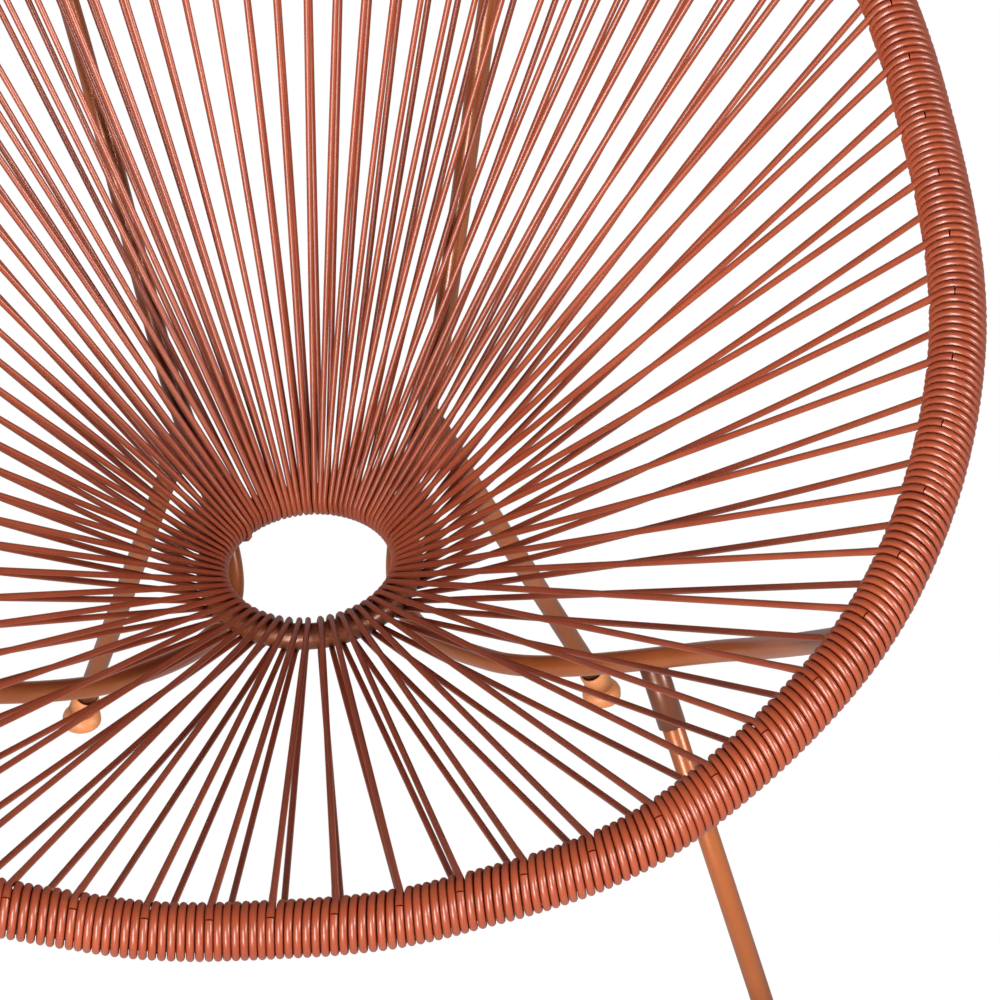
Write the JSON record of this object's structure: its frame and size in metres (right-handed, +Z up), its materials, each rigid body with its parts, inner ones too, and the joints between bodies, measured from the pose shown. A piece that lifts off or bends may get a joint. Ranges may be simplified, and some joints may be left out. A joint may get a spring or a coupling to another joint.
{
  "type": "acapulco chair",
  "caption": "Lounge chair: an egg-shaped steel hoop and a small seat ring laced together with plastic cord, on a bent tube frame with four splayed legs.",
  "frame": {"origin": "middle of the chair's footprint box, on the floor that the feet stand on", "axes": "+Z up, -Y towards the front of the seat, +X to the right as seen from the front"},
  "size_m": [0.7923, 0.8285, 0.8559],
  "materials": {
    "painted_steel": "copper-brown powder coat, satin with a fine grain",
    "cord": "extruded PVC cord, terracotta, satin gloss",
    "foot_plastic": "moulded plastic, copper brown, satin",
    "screw_steel": "zinc-plated, dull"
  },
  "bodies": {
    "root": {"cord_panel_01": "cord", "cord_panel_02": "cord", "cord_panel_03": "cord", "cord_panel_04": "cord", "cord_panel_05": "cord", "cord_panel_06": "cord", "cord_panel_07": "cord", "cord_panel_08": "cord", "cord_panel_09": "cord", "cord_panel_10": "cord", "cord_panel_11": "cord", "cord_panel_12": "cord", "cord_panel_13": "cord", "cord_panel_14": "cord", "cord_panel_15": "cord", "cord_panel_16": "cord", "cord_panel_17": "cord", "cord_panel_18": "cord", "cord_panel_19": "cord", "foot_front_left": "foot_plastic", "foot_front_right": "foot_plastic", "foot_rear_left": "foot_plastic", "foot_rear_right": "foot_plastic", "frame_bar_left": "painted_steel", "frame_bar_right": "painted_steel", "hoop_tube": "painted_steel", "leg_front_left": "painted_steel", "leg_front_right": "painted_steel", "leg_rear_left": "painted_steel", "leg_rear_right": "painted_steel", "leg_screw_front_left": "screw_steel", "leg_screw_front_right": "screw_steel", "leg_screw_rear_left": "screw_steel", "leg_screw_rear_right": "screw_steel", "seat_ring": "painted_steel", "socket_front_left": "painted_steel", "socket_front_right": "painted_steel", "socket_rear_left": "painted_steel", "socket_rear_right": "painted_steel"}
  },
  "joints": []
}
